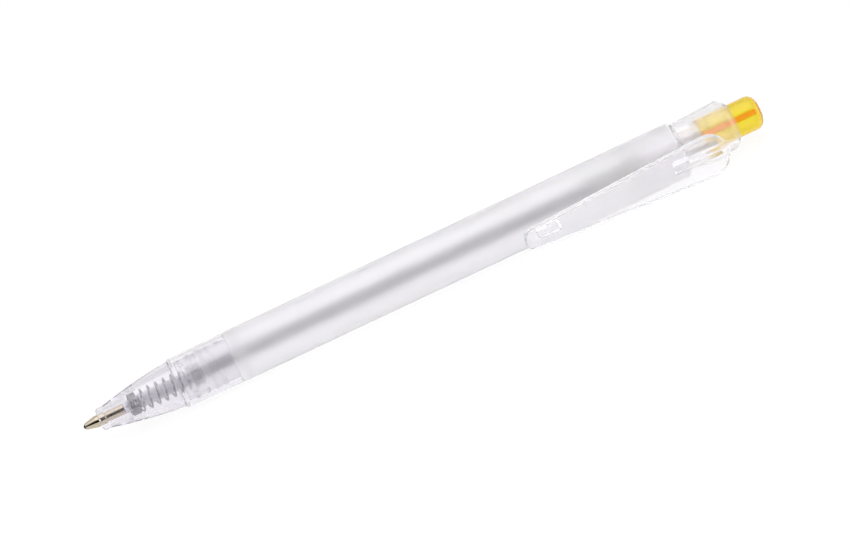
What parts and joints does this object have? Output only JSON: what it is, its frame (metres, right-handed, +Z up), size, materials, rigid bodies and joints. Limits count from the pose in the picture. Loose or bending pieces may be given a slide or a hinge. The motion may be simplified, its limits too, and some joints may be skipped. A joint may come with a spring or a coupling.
{
  "type": "retractable ballpoint pen",
  "caption": "Click ballpoint pen with clear nose, frosted barrel, clear clip cap, yellow push button, spring and working latch.",
  "frame": {"origin": "on the table under the middle of the pen's bounding box, the pen lying on its barrel and on the edge of its clip", "axes": "+X along the pen from the writing point to the push button, +Z up from the table, the clip towards -Y"},
  "size_m": [0.1412, 0.0136, 0.0103],
  "materials": {
    "clear_plastic": "polished clear polystyrene",
    "frosted_plastic": "frosted clear polypropylene",
    "clear_cap_plastic": "slightly milky clear plastic, smooth",
    "yellow_plastic": "translucent yellow, smooth",
    "natural_plastic": "uncoloured plastic, smooth",
    "grey_plastic": "smoke grey translucent plastic, smooth",
    "spring_steel": "drawn wire",
    "refill_plastic": "milky polypropylene tube",
    "ink": "thick black ink",
    "nickel_silver": "turned nickel silver",
    "hard_metal": "lapped tungsten carbide"
  },
  "bodies": {
    "casing": {"nose_cone": "clear_plastic", "barrel": "frosted_plastic", "clip_cap": "clear_cap_plastic", "spring": "spring_steel"},
    "button": {"push_button": "yellow_plastic", "plunger": "natural_plastic"},
    "refill": {"refill_tube": "refill_plastic", "ink_column": "ink", "ballpoint_tip": "nickel_silver"},
    "rotor": {"rotor": "grey_plastic"},
    "ball": {"writing_ball": "hard_metal"}
  },
  "joints": [
    {"name": "button_press", "type": "slide", "parent": "casing", "child": "button", "axis": [1, 0, 0], "range_m": [-0.0015, 0.005]},
    {"name": "refill_slide", "type": "slide", "parent": "casing", "child": "refill", "axis": [1, 0, 0], "range_m": [-0.0015, 0.005], "deforming": ["spring"]},
    {"name": "rotor_turn", "type": "hinge", "parent": "refill", "child": "rotor", "pos_m": [0.042, 0.00169, 0.00513], "axis": [1, 0, 0], "range_deg": [-45, 13.5]},
    {"name": "ball_roll", "type": "hinge", "parent": "refill", "child": "ball", "pos_m": [-0.07013, 0.00169, 0.00513], "axis": [0, 1, 0], "continuous": true}
  ],
  "couplings": [
    {"joint": "refill_slide", "follows": "button_press", "ratio": 1},
    {"joint": "rotor_turn", "follows": "button_press", "rad_per_m": -157.08}
  ]
}
